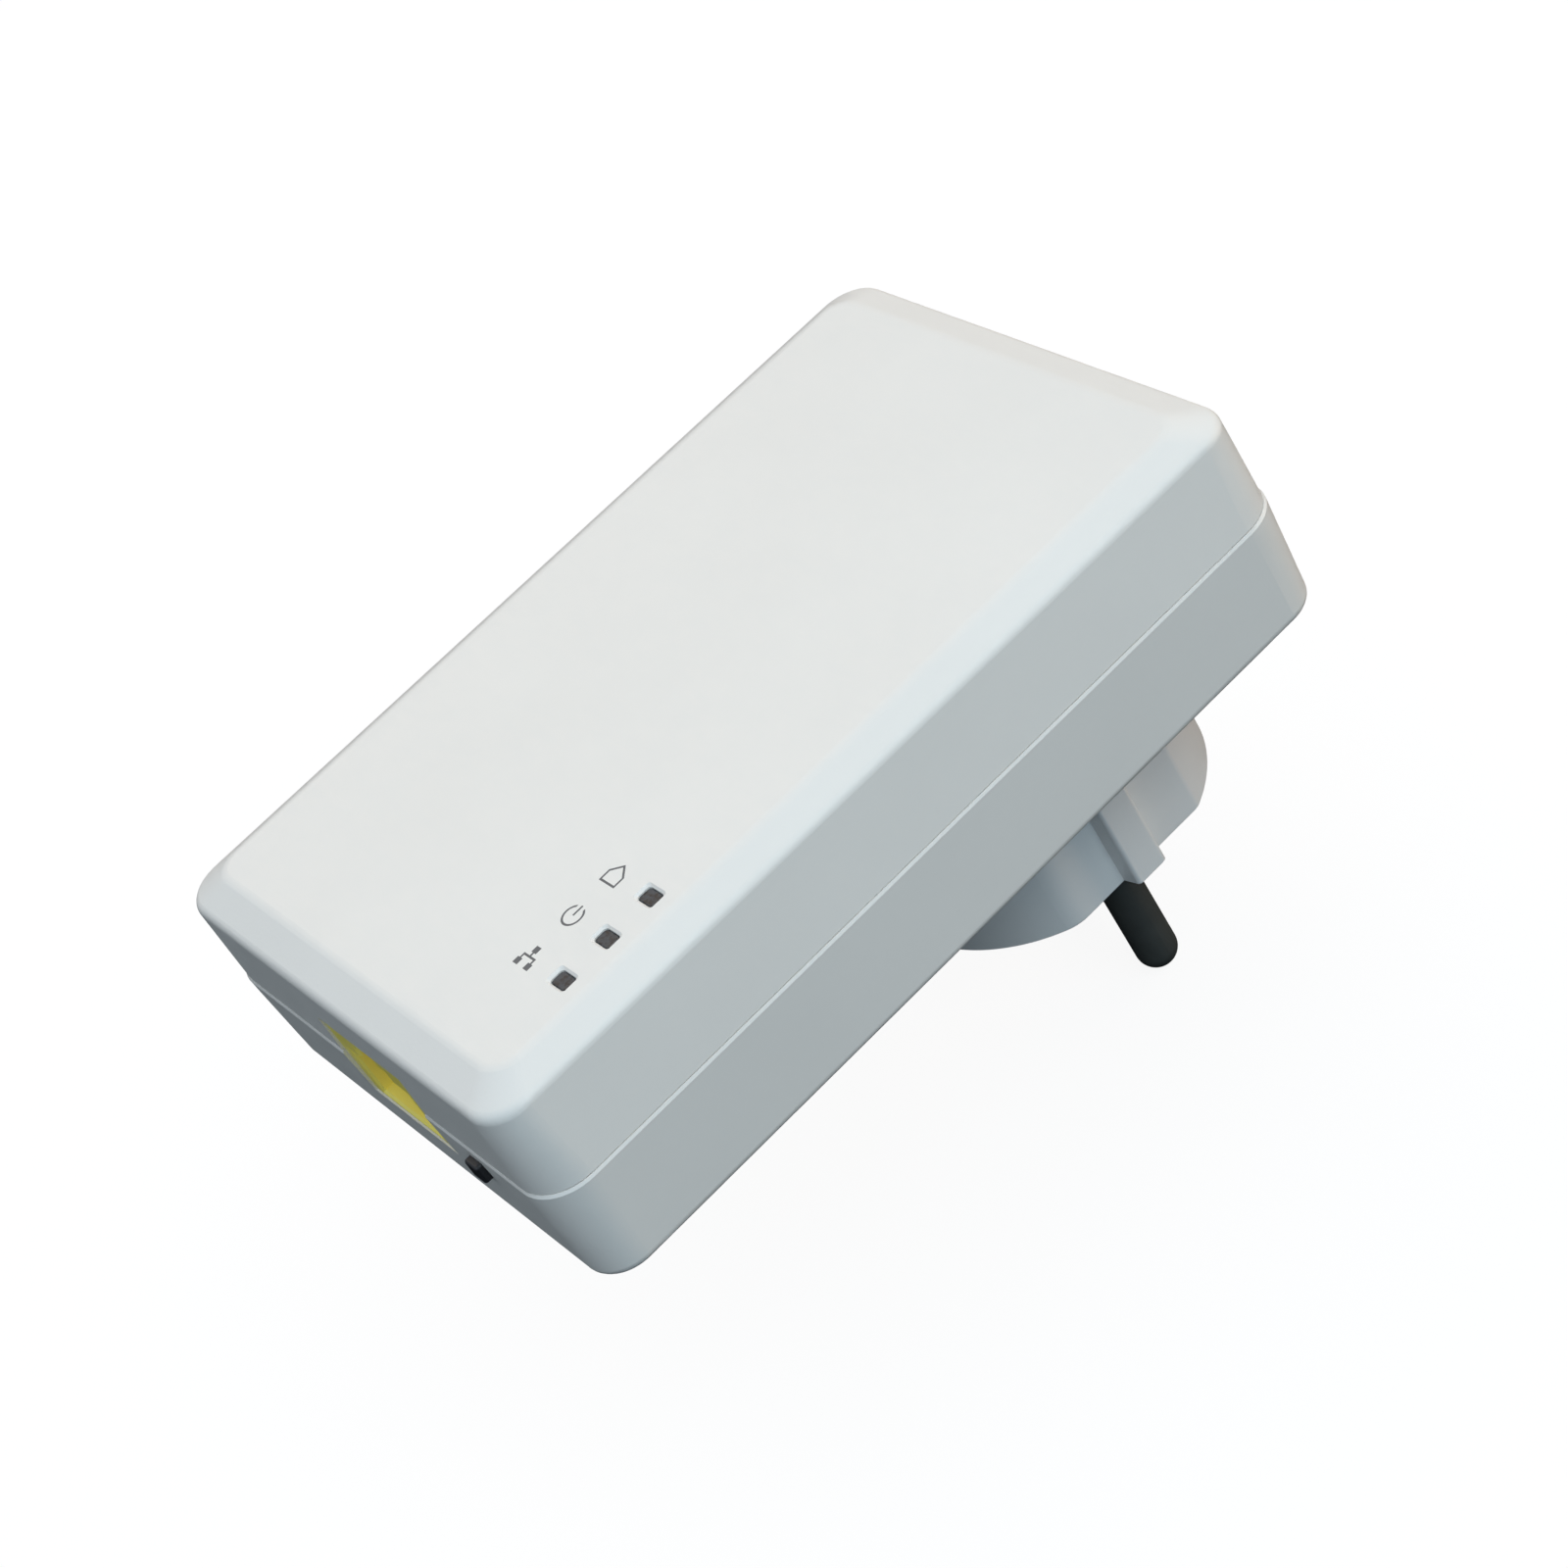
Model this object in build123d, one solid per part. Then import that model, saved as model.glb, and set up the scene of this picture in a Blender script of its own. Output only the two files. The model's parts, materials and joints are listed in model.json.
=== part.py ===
from build123d import *
import os
from math import cos, radians, sin

# Powerline network adapter with a round two-pin mains plug on its back.
# Millimetres. X runs across the width, Y along the length away from the network socket,
# Z out of the front face. The origin is midway between the pins on the plug's end face.

# ---- driving dimensions: the mains plug (standard sizes) ----
PIN_SPACING = 19.0
PIN_DIAMETER = 4.8
PIN_LENGTH = 19.0
PIN_ROOT_RADIUS = 2.0     # where the pin is moulded into the plug
TAIL_RADIUS = 0.9         # thin end that is soldered into the board
TAIL_LENGTH = 4.0         # of it, under the board
PLUG_RADIUS = 19.4
PLUG_HEIGHT = 22.3
PLUG_FLAT = 17.2          # half width across the side flats
PLUG_FLAT_BLENDS = (5.0, 1.2)             # between flat and round sides, at the -Y and +Y ends
PLUG_RIB_ROOT = 5.2       # keying rib beside each pin, width at the flat
PLUG_RIB_TIP = 4.0        # and at its outer face, level with the round sides
PLUG_RIB_EDGE = 0.5
PLUG_EDGE = 0.45
NOTCH_WIDTH = 7.0         # clears an earth clip or an earth pin
NOTCH_REACH = 10.0        # centre of the notch's round end, from the plug's centre
PLUG_GAP = 0.08           # between the plug and the rear cover's hole
PLUG_WALL = 2.2
PLUG_FACE_WALL = 4.0
FLANGE_RADIUS = 23.5
FLANGE_THICKNESS = 2.0
TOWER_RADIUS = 4.2        # plastic sleeve round each pin's shank

# ---- driving dimensions: the case ----
CASE_WIDTH = 65.6
CASE_LENGTH = 99.4
CASE_CENTRE_Y = -23.5     # the case's middle, from the plug's axis
REAR_DEPTH = 12.95        # parting line to the back face
FRONT_DEPTH = 10.6        # parting line to the edge of the bevel
BEVEL_DROP = 1.8
FACE_INSET = 4.4          # of the front face's edge, from the case's outline
REAR_DRAFT = 0.55         # how far each side of the rear cover leans in
FRONT_DRAFT = 1.1         # and the long sides of the front cover, from the rear cover's rim
END_DRAFT = 0.35          # and its two ends
CORNER_RADIUS = 5.3       # at the parting line
EDGE_CORNER_RADIUS = 4.4  # at the back face and at the edge of the bevel
FACE_CORNER_RADIUS = 3.0
FACE_EDGE = 2.3           # rounding between the face and the bevel
BEVEL_EDGE = 1.2          # and between the bevel and the sides
REAR_EDGE = 1.1
WALL = 2.0
LIP_HEIGHT = 1.5
LIP_THICKNESS = 0.9
LIP_GAP = 0.1
SEAM_STEP = 0.17          # ledge of the rear cover's rim, outside the front cover
SEAM_GAP = 0.12
SEAM_GAP_DEPTH = 0.4
RIM_CHAMFER = (0.14, 0.3)                  # inwards and along Z

# ---- levels along Z ----
Z_REAR = PLUG_HEIGHT
Z_FLOOR = Z_REAR + WALL
Z_FLANGE = Z_FLOOR + FLANGE_THICKNESS
Z_SEAM = Z_REAR + REAR_DEPTH
Z_EDGE = Z_SEAM + FRONT_DEPTH
Z_FRONT = Z_EDGE + BEVEL_DROP
Z_CEILING = Z_FRONT - WALL
END_Y = CASE_CENTRE_Y - CASE_LENGTH / 2

# ---- boards, both at one level ----
BOARD_THICKNESS = 1.6
BOARD_TOP = Z_SEAM - 6.1
BOARD_BOTTOM = BOARD_TOP - BOARD_THICKNESS
BOARD_CORNER_GAP = 0.4
MAIN_WIDTH = 57.0
MAIN_Y = (END_Y + 4.4, -31.2)
POWER_WIDTH = 50.0
POWER_Y = (-30.4, 21.5)
PAD_RADIUS = 2.2
PAD_X = 20.0
PAD_INSET = (16.0, 4.0)   # from each end of the main board
HOLE_GAP = 0.05           # round a pin or a stake in its hole

# ---- bridge between the boards ----
LINK_PINS = 4
LINK_PITCH = 2.54
LINK_PIN_RADIUS = 0.32
LINK_REACH = 1.4          # each row of pins, from the bridge's middle
LINK_Y = (MAIN_Y[1] + POWER_Y[0]) / 2
LINK_SIZE = (LINK_PINS * LINK_PITCH, 4.6, 2.5)

# ---- network socket ----
JACK_WIDTH = 16.2
JACK_DEPTH = 16.5
JACK_X = 0.8
JACK_RECESS = 0.4         # of its face, from the rim of the rear cover
JACK_FACE_Y = END_Y + JACK_RECESS
JACK_BOTTOM = BOARD_TOP
JACK_HEIGHT = 11.1
JACK_TOP = JACK_BOTTOM + JACK_HEIGHT
JACK_GAP = 0.2
JACK_EDGE = 0.3
CAVITY_WIDTH = 11.9
CAVITY_HEIGHT = 6.8
CAVITY_DEPTH = 14.0
CAVITY_BOTTOM = JACK_BOTTOM + 0.8
LATCH_STEPS = ((6.4, 1.6), (3.4, 1.1))      # width and height of each step of the latch slot
CONTACTS = 8
CONTACT_PITCH = 1.016
CONTACT_WIDTH = 0.42
CONTACT_THICKNESS = 0.3
CONTACT_RISE = 1.4
CONTACT_START = 2.0       # behind the socket's face
CONTACT_FOOT = 1.2
CONTACT_LEVEL = 3.0       # straight end of each contact

# ---- pairing button ----
BUTTON_X = 17.0
BUTTON_Z = Z_SEAM - 3.0
BUTTON_SIZE = 2.4
BUTTON_EDGE = 0.35
BUTTON_PROUD = 0.9
BUTTON_GAP = 0.15
BUTTON_FLANGE = 4.0
BUTTON_FLANGE_THICKNESS = 0.8
BUTTON_FLANGE_GAP = 0.1
BUTTON_TRAVEL = 0.5
PLUNGER_RADIUS = 1.2
PLUNGER_GAP = 0.08
PLUNGER_DEPTH = 1.4       # inside the switch
SWITCH_SIZE = (6.2, 3.6, 5.6)
SWITCH_EDGE = 0.3

# ---- status windows, light pipes and lamps ----
WINDOW_NAMES = ("line", "power", "network")
WINDOW_X = 24.72
WINDOW_PITCH = 5.6
WINDOW_FIRST_Y = CASE_CENTRE_Y - 23.1
WINDOW_SIZE = (3.15, 2.3)
WINDOW_SLOPE = 0.25       # sloped edge round each window
WINDOW_RECESS = 0.32
WINDOW_GAP = 0.05
WINDOW_CORNER = 0.45
PIPE_FLANGE = 0.6
PIPE_FLANGE_THICKNESS = 0.8
PIPE_STEM = (2.2, 1.7)
PIPE_EDGE = 0.15
LAMP_SIZE = (2.4, 2.0, 1.2)
LAMP_DOME = 0.9
LAMP_GAP = 0.3

# ---- printed symbols ----
ICON_X = 18.9
ICON_SIZE = 2.6
ICON_LINE = 0.25
ICON_DEPTH = 0.04         # the ink fills a shallow print, flush with the face
HOUSE_EAVES = 0.1
POWER_OPENING = 0.45      # of the ring's size
POWER_BAR = 0.5
SQUARE_SIZE = 0.30

# ---- case screws and heat stakes ----
SCREW_X = 25.6
SCREW_OFFSET_Y = 43.0
SCREW_HEAD_RADIUS = 2.7
SCREW_HEAD_HEIGHT = 1.9
SCREW_HEAD_EDGE = 0.7
SCREW_HEAD_GAP = 0.25
SCREW_SHANK_RADIUS = 1.45
SCREW_LENGTH = 11.0
SCREW_TIP = 0.8
SCREW_RECESS = 5.5        # from the back face to the outside of the head
SCREW_SLOT = (2.9, 0.7, 2.0)
SINK_CHAMFER = 0.3
POST_RADIUS = 4.3
BOSS_RADIUS = 3.4
GUSSET_SIZE = (1.2, 14.0)
GUSSET_START = 3.0        # above the seam
STAKE_RADIUS = 1.2
STAKE_CIRCLE = 21.4
STAKE_HEAD = 0.7

# ---- blank label on the back ----
LABEL_SIZE = (44.0, 24.0)
LABEL_THICKNESS = 0.12
LABEL_RECESS = 0.3
LABEL_BORDER = 0.3
LABEL_CORNER = 1.5
LABEL_Y = CASE_CENTRE_Y - 32.0

# ---- flat packages: node, place on the board (x, y), size and edge rounding ----
CHIP_EDGE = 0.12
CHIP_MARK = (1.0, 0.4, 0.1)                 # its first corner's dot: inset, radius, depth
CHIPS = (
    ("line_modem_chip", (-15.0, -47.0), (11.0, 11.0, 1.2)),
    ("ethernet_chip", (15.5, -49.0), (7.0, 7.0, 1.0)),
    ("memory_chip", (-15.0, -60.0), (5.2, 6.2, 1.7)),
)
BLOCKS = (
    ("ethernet_transformer", (1.5, -49.0), (12.8, 7.0, 5.6), 0.4),
    ("crystal", (-4.0, -39.5), (4.6, 11.0, 3.4), 1.2),
    ("mains_capacitor", (-4.0, 16.5), (14.0, 6.0, 11.5), 0.6),
    ("bridge_rectifier", (-6.5, -10.5), (6.4, 4.6, 2.5), 0.3),
    ("supply_chip", (-6.5, -19.5), (9.4, 6.4, 3.4), 0.4),
    ("optocoupler", (6.0, -21.0), (4.6, 6.4, 3.4), 0.4),
)

# ---- upright capacitors: node, place, radius and height ----
CANS = (
    ("output_capacitor", (20.5, -19.5), 3.15, 11.0),
    ("filter_capacitor", (13.0, -20.5), 2.5, 8.0),
)
CAN_EDGE = 0.5

# ---- heat sink on the modem chip ----
SINK_SIZE = (15.0, 15.0, 8.0)
SINK_BASE = 1.8
SINK_SLOTS = 5
SINK_SLOT_WIDTH = 1.5
SINK_SLOT_PITCH = 2.7

# ---- signal coupler ----
COUPLER_PLACE = (11.0, -37.7)
COUPLER_SIZE = (9.4, 9.4, 8.6)
COUPLER_WINDOW = (6.8, 4.6)                 # width and height of the hole through the core
COUPLER_FOOT = 2.0
COUPLER_COIL = 5.6                          # how far the coil reaches each way along Y
COUPLER_EDGE = 0.5
COIL_EDGE = 0.6
COIL_GAP = 0.1

# ---- fuse, varistor and mains choke ----
FUSE_Y = 7.5
FUSE_X = (-23.0, -20.4, -13.6, -11.0)       # both ends of each cap
FUSE_CAP_RADIUS = 2.4
FUSE_TUBE_RADIUS = 2.1
VARISTOR_PLACE = (-15.5, 15.5)
VARISTOR_RADIUS = 4.6
VARISTOR_THICKNESS = 3.8
VARISTOR_LIFT = 0.8
VARISTOR_EDGE = 1.0
CHOKE_PLACE = (-18.5, -7.5)
CHOKE_LIFT = 3.6
CHOKE_RADII = (2.9, 5.4)
CHOKE_HEIGHT = 4.4
CHOKE_EDGE = 0.4
CHOKE_WIRE = 0.75
CHOKE_SPLIT = 3.4

# ---- main smoothing capacitor, lying on its side ----
BULK_X = (0.5, 18.5)
BULK_Y = -8.5
BULK_RADIUS = 5.0
BULK_LIFT = 0.2
BULK_EDGE = 0.9
BULK_GROOVE = (2.4, 3.3)                    # along X
BULK_GROOVE_DEPTH = 0.4

# ---- supply transformer ----
TRANSFORMER_PLACE = (13.5, 10.5)
CORE_WIDTH = 4.8
CORE_LENGTH = 14.5
CORE_LEVELS = (1.0, 3.2, 10.4, 12.6)        # outside and inside of each yoke, above the board
CORE_OPENING = 4.9
LEG_REACH = 2.0
SPOOL_REACH = (7.5, 4.8)
SPOOL_TOP_REACH = 6.5
SPOOL_PLATE = 1.0
COLUMN_REACH = (3.4, 3.0)
WINDING_REACH = (6.0, 4.7)
WINDING_CORNER = 1.2
PART_GAP = 0.1

# ---- insulation film under the front cover ----
FILM_SIZE = (46.0, 44.0, 0.3)
FILM_CORNER = 3.0
FILM_Y = -3.5

nodes = {}


def block(x, y, z):
    """A box from three (low, high) pairs."""
    size = (x[1] - x[0], y[1] - y[0], z[1] - z[0])
    middle = ((x[0] + x[1]) / 2, (y[0] + y[1]) / 2, (z[0] + z[1]) / 2)
    return Pos(*middle) * Box(*size)


def around(middle, reach):
    """The (low, high) pair that reaches equally far each side of a middle."""
    return (middle - reach, middle + reach)


def standing(x, y, size, z_low, edge=0.0):
    """A box standing on z_low, centred at x, y, with its upright and top edges rounded."""
    width, length, height = size
    solid = Pos(x, y, z_low + height / 2) * Box(width, length, height)
    if edge:
        soft = solid.edges().filter_by(Axis.Z) + solid.faces().sort_by(Axis.Z)[-1].edges()
        solid = fillet(soft, edge)
    return solid


def rod(x, y, z_low, z_high, radius):
    """An upright round rod."""
    return Pos(x, y, (z_low + z_high) / 2) * Cylinder(radius, z_high - z_low)


def rod_along_x(x, y, z, radius):
    """A round rod lying along X, between the two values in x."""
    middle = (x[0] + x[1]) / 2
    return Pos(middle, y, z) * Rot(0, 90, 0) * Cylinder(radius, x[1] - x[0])


def rod_along_y(x, y, z, radius):
    """A round rod lying along Y, between the two values in y."""
    middle = (y[0] + y[1]) / 2
    return Pos(x, middle, z) * Rot(90, 0, 0) * Cylinder(radius, y[1] - y[0])


def case_outline(inset, radius, z, stretch=0.0):
    """The case's rounded rectangle at height z, drawn in by inset, then stretched at both ends."""
    length = CASE_LENGTH - 2 * inset + 2 * stretch
    sketch = RectangleRounded(CASE_WIDTH - 2 * inset, length, radius)
    return Pos(0, CASE_CENTRE_Y, z) * sketch


def tapered(low, high):
    """A straight-sided solid between two outlines."""
    return loft([low, high], ruled=True)


def edges_at(solid, z):
    """Every edge that lies flat at height z."""
    return solid.edges().filter_by_position(Axis.Z, z - 0.001, z + 0.001)


def round_edges(solid, radius):
    """The solid with its circular edges rounded."""
    return fillet(solid.edges().filter_by(GeomType.CIRCLE), radius)


def screw_places():
    """The four case screws, as x, y pairs."""
    rows = around(CASE_CENTRE_Y, SCREW_OFFSET_Y)
    return [(side * SCREW_X, y) for y in rows for side in (-1, 1)]


def window_places():
    """The y of each status window, from the plug's side towards the network socket."""
    return [WINDOW_FIRST_Y - WINDOW_PITCH * index for index in range(len(WINDOW_NAMES))]


def stake_places():
    """The heat stakes that hold the plug's flange, as x, y pairs."""
    angles = [radians(45 + 90 * quarter) for quarter in range(4)]
    return [(STAKE_CIRCLE * cos(angle), STAKE_CIRCLE * sin(angle)) for angle in angles]


def link_places():
    """The pins of the bridge between the boards, as x, y pairs."""
    first = -LINK_PITCH * (LINK_PINS - 1) / 2
    rows = around(LINK_Y, LINK_REACH)
    return [(first + LINK_PITCH * index, y) for y in rows for index in range(LINK_PINS)]


def jack_window(z_low, z_high):
    """The cut through the end wall in front of the network socket."""
    across = around(JACK_X, JACK_WIDTH / 2 + JACK_GAP)
    return block(across, (END_Y - 1, END_Y + 2 * WALL + 1), (z_low, z_high))


# ---- case ----
def front_cover():
    seam_outline = case_outline(SEAM_STEP, CORNER_RADIUS, Z_SEAM)
    stretch = FRONT_DRAFT - END_DRAFT
    edge_outline = case_outline(FRONT_DRAFT, EDGE_CORNER_RADIUS, Z_EDGE, stretch)
    face_outline = case_outline(FACE_INSET, FACE_CORNER_RADIUS, Z_FRONT)
    outer = tapered(seam_outline, edge_outline) + tapered(edge_outline, face_outline)
    outer = fillet(edges_at(outer, Z_FRONT), FACE_EDGE)
    outer = fillet(edges_at(outer, Z_EDGE), BEVEL_EDGE)

    inner_radius = CORNER_RADIUS - WALL
    inner_edge = case_outline(FRONT_DRAFT + WALL, inner_radius, Z_EDGE - WALL / 2, stretch)
    inner_face = case_outline(FACE_INSET + WALL / 2, inner_radius, Z_CEILING)
    inner = tapered(case_outline(SEAM_STEP + WALL, inner_radius, Z_SEAM), inner_edge)
    inner += tapered(inner_edge, inner_face)
    shell = outer - inner

    # rabbet for the rear cover's lip, and the fine shadow gap at the seam
    rabbet_radius = CORNER_RADIUS - WALL + LIP_THICKNESS
    rabbet = case_outline(SEAM_STEP + WALL - LIP_THICKNESS - LIP_GAP, rabbet_radius, Z_SEAM)
    shell -= extrude(rabbet, LIP_HEIGHT + LIP_GAP)
    gap_low = case_outline(-1, CORNER_RADIUS, Z_SEAM)
    gap_high = case_outline(SEAM_STEP + SEAM_GAP_DEPTH, CORNER_RADIUS - SEAM_GAP_DEPTH, Z_SEAM)
    shell -= extrude(gap_low, SEAM_GAP) - extrude(gap_high, SEAM_GAP)

    for x, y in screw_places():
        boss = rod(x, y, Z_SEAM, Z_CEILING, BOSS_RADIUS)
        gusset = block(around(x, GUSSET_SIZE[0] / 2), around(y, GUSSET_SIZE[1] / 2),
                       (Z_SEAM + GUSSET_START, Z_CEILING))
        shell += (boss + gusset) & inner
        shell -= rod(x, y, Z_SEAM - 1, Z_SEAM + SCREW_LENGTH, SCREW_SHANK_RADIUS + HOLE_GAP)
    shell -= jack_window(Z_SEAM - 1, JACK_TOP + JACK_GAP)

    width = WINDOW_SIZE[0] - 2 * WINDOW_SLOPE
    length = WINDOW_SIZE[1] - 2 * WINDOW_SLOPE
    for y in window_places():
        hole = Pos(WINDOW_X, y, Z_FRONT - 3 * WALL) * RectangleRounded(width, length, WINDOW_CORNER)
        shell -= extrude(hole, 4 * WALL)
        floor = Pos(WINDOW_X, y, Z_FRONT - WINDOW_SLOPE) * RectangleRounded(
            width, length, WINDOW_CORNER)
        mouth = Pos(WINDOW_X, y, Z_FRONT) * RectangleRounded(*WINDOW_SIZE, WINDOW_CORNER)
        shell -= tapered(floor, mouth)
    for symbol in placed_symbols(Z_FRONT - ICON_DEPTH):
        shell -= extrude(symbol, 2 * ICON_DEPTH)
    nodes["front_cover"] = shell


def rear_cover():
    rim_outline = case_outline(0, CORNER_RADIUS, Z_SEAM - RIM_CHAMFER[1])
    outer = tapered(case_outline(REAR_DRAFT, EDGE_CORNER_RADIUS, Z_REAR), rim_outline)
    outer = fillet(edges_at(outer, Z_REAR), REAR_EDGE)
    outer += tapered(rim_outline, case_outline(RIM_CHAMFER[0], CORNER_RADIUS, Z_SEAM))
    inner_radius = CORNER_RADIUS - WALL
    inner = tapered(
        case_outline(REAR_DRAFT + WALL, inner_radius, Z_FLOOR),
        case_outline(SEAM_STEP + WALL, inner_radius, Z_SEAM))
    shell = outer - inner
    lip_low = Z_SEAM - LIP_GAP
    lip_outline = case_outline(
        SEAM_STEP + WALL - LIP_THICKNESS, inner_radius + LIP_THICKNESS, lip_low)
    lip = extrude(lip_outline, LIP_HEIGHT + LIP_GAP)
    lip -= extrude(case_outline(SEAM_STEP + WALL, inner_radius, lip_low), LIP_HEIGHT + LIP_GAP)
    shell += lip

    shell -= Pos(0, 0, Z_REAR - 1) * extrude(plug_outline(PLUG_GAP), WALL + 2)
    label_pocket = Pos(0, LABEL_Y, Z_REAR) * RectangleRounded(
        LABEL_SIZE[0] + 2 * LABEL_BORDER, LABEL_SIZE[1] + 2 * LABEL_BORDER,
        LABEL_CORNER + LABEL_BORDER)
    shell -= extrude(label_pocket, LABEL_RECESS)

    for x, y in stake_places():
        stake = rod(x, y, Z_FLOOR - 0.5, Z_FLANGE, STAKE_RADIUS)
        head = rod(x, y, Z_FLANGE, Z_FLANGE + STAKE_HEAD, 2 * STAKE_RADIUS)
        shell += stake + fillet(edges_at(head, Z_FLANGE + STAKE_HEAD), STAKE_HEAD / 2)
    for x in (-PAD_X, PAD_X):
        for y in (MAIN_Y[0] + PAD_INSET[0], MAIN_Y[1] - PAD_INSET[1]):
            shell += rod(x, y, Z_FLOOR - 0.5, BOARD_BOTTOM, PAD_RADIUS)

    for x, y in screw_places():
        shell += rod(x, y, Z_FLOOR, Z_SEAM, POST_RADIUS) & inner
        sink = SCREW_HEAD_RADIUS + SCREW_HEAD_GAP
        shell -= rod(x, y, Z_REAR - 1, Z_REAR + SCREW_RECESS + SCREW_HEAD_HEIGHT, sink)
        shell -= Pos(x, y, Z_REAR + SINK_CHAMFER / 2) * Cone(
            sink + SINK_CHAMFER, sink, SINK_CHAMFER)
        shell -= rod(x, y, Z_REAR, Z_SEAM + LIP_HEIGHT, SCREW_SHANK_RADIUS + 2 * HOLE_GAP)

    shell -= jack_window(JACK_BOTTOM - JACK_GAP, Z_SEAM + 2 * LIP_HEIGHT)
    half = BUTTON_SIZE / 2 + BUTTON_GAP
    shell -= block(around(BUTTON_X, half), (END_Y - 1, END_Y + 2 * WALL), around(BUTTON_Z, half))
    nodes["rear_cover"] = shell


def case_screws():
    screws = []
    head_low = Z_REAR + SCREW_RECESS
    seat = head_low + SCREW_HEAD_HEIGHT
    width, thickness, depth = SCREW_SLOT
    for x, y in screw_places():
        head = fillet(edges_at(rod(x, y, head_low, seat, SCREW_HEAD_RADIUS), head_low), SCREW_HEAD_EDGE)
        shank = rod(x, y, seat, seat + SCREW_LENGTH, SCREW_SHANK_RADIUS)
        shank = chamfer(edges_at(shank, seat + SCREW_LENGTH), SCREW_TIP)
        slots = Pos(x, y, head_low) * (Box(width, thickness, depth) + Box(thickness, width, depth))
        screws.append(head + shank - slots)
    nodes["case_screws"] = Compound(children=screws)


def rear_label():
    sketch = RectangleRounded(*LABEL_SIZE, LABEL_CORNER)
    lowest = Z_REAR + LABEL_RECESS - LABEL_THICKNESS
    nodes["rear_label"] = extrude(Pos(0, LABEL_Y, lowest) * sketch, LABEL_THICKNESS)


# ---- mains plug ----
def plug_rib(grow):
    """A rib's section, on the flat beside the +X pin."""
    root = PLUG_RIB_ROOT / 2 + grow
    tip = PLUG_RIB_TIP / 2 + grow
    low = PLUG_FLAT + grow - 1
    high = PLUG_RADIUS + grow
    rib = Polygon((low, -root), (high, -tip), (high, tip), (low, root), align=None)
    return fillet(rib.vertices().sort_by(Axis.X)[-2:], PLUG_RIB_EDGE)


def plug_outline(grow=0.0, ribs=True):
    """The plug's section: a circle with side flats, a rib beside each pin and two notches."""
    radius = PLUG_RADIUS + grow
    notch = NOTCH_WIDTH / 2 - grow
    section = Circle(radius) & Rectangle(2 * (PLUG_FLAT + grow), 3 * radius)
    section = fillet(section.vertices().sort_by(Axis.Y)[:2], PLUG_FLAT_BLENDS[0])
    section = fillet(section.vertices().sort_by(Axis.Y)[-2:], PLUG_FLAT_BLENDS[1])
    slot = Pos(NOTCH_REACH + radius / 2, 0) * Rectangle(radius, 2 * notch)
    slot += Pos(NOTCH_REACH, 0) * Circle(notch)
    for turn in (0, 180):
        if ribs:
            section += Rot(0, 0, turn) * plug_rib(grow)
        section -= Rot(0, 0, turn + 90) * slot
    return section


def plug_body():
    body = chamfer(edges_at(extrude(plug_outline(), Z_FLOOR), 0), PLUG_EDGE)
    body += extrude(Pos(0, 0, Z_FLOOR) * Circle(FLANGE_RADIUS), FLANGE_THICKNESS)
    hollow = Pos(0, 0, PLUG_FACE_WALL) * extrude(plug_outline(-PLUG_WALL, ribs=False), Z_FLANGE)
    body -= hollow
    root_top = BOARD_BOTTOM - TAIL_LENGTH
    for x in around(0, PIN_SPACING / 2):
        body += rod(x, 0, 1, BOARD_BOTTOM, TOWER_RADIUS)
        body -= rod(x, 0, -1, root_top, PIN_ROOT_RADIUS)
        body -= rod(x, 0, root_top - 1, BOARD_BOTTOM + 1, TAIL_RADIUS + HOLE_GAP)
    for x, y in stake_places():
        body -= rod(x, y, Z_FLOOR - 1, Z_FLANGE + 1, STAKE_RADIUS + HOLE_GAP)
    nodes["plug_body"] = body


def plug_pins():
    radius = PIN_DIAMETER / 2
    root_top = BOARD_BOTTOM - TAIL_LENGTH
    for side, name in ((-1, "plug_pin_left"), (1, "plug_pin_right")):
        x = side * PIN_SPACING / 2
        shank = rod(x, 0, -PIN_LENGTH + radius, 0, radius)
        tip = Pos(x, 0, -PIN_LENGTH + radius) * Sphere(radius)
        root = rod(x, 0, 0, root_top, PIN_ROOT_RADIUS)
        tail = rod(x, 0, root_top, BOARD_TOP + 1, TAIL_RADIUS)
        nodes[name] = shank + tip + root + tail


# ---- network socket, button and status lights ----
def ethernet_jack():
    back = JACK_FACE_Y + JACK_DEPTH
    body = block(around(JACK_X, JACK_WIDTH / 2), (JACK_FACE_Y, back), (JACK_BOTTOM, JACK_TOP))
    reach = (JACK_FACE_Y - 1, JACK_FACE_Y + CAVITY_DEPTH)
    top = CAVITY_BOTTOM + CAVITY_HEIGHT
    body -= block(around(JACK_X, CAVITY_WIDTH / 2), reach, (CAVITY_BOTTOM, top))
    for width, height in LATCH_STEPS:
        body -= block(around(JACK_X, width / 2), reach, (top - 0.1, top + height))
        top += height
    mouth = body.faces().sort_by(Axis.Y)[0].edges()
    nodes["ethernet_jack"] = chamfer(mouth, JACK_EDGE)


def ethernet_contacts():
    y_low = JACK_FACE_Y + CONTACT_START
    y_high = JACK_FACE_Y + CAVITY_DEPTH
    y_knee = y_high - CONTACT_LEVEL
    low = CAVITY_BOTTOM
    high = low + CONTACT_RISE
    under = high - CONTACT_THICKNESS
    profile = Polygon((y_low, low), (y_low + CONTACT_FOOT, low), (y_knee, under),
                      (y_high, under), (y_high, high), (y_knee, high), align=None)
    springs = []
    for index in range(CONTACTS):
        x = JACK_X + (index - (CONTACTS - 1) / 2) * CONTACT_PITCH - CONTACT_WIDTH / 2
        springs.append(extrude(Plane.YZ.offset(x) * profile, CONTACT_WIDTH))
    nodes["ethernet_contacts"] = Compound(children=springs)


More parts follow.
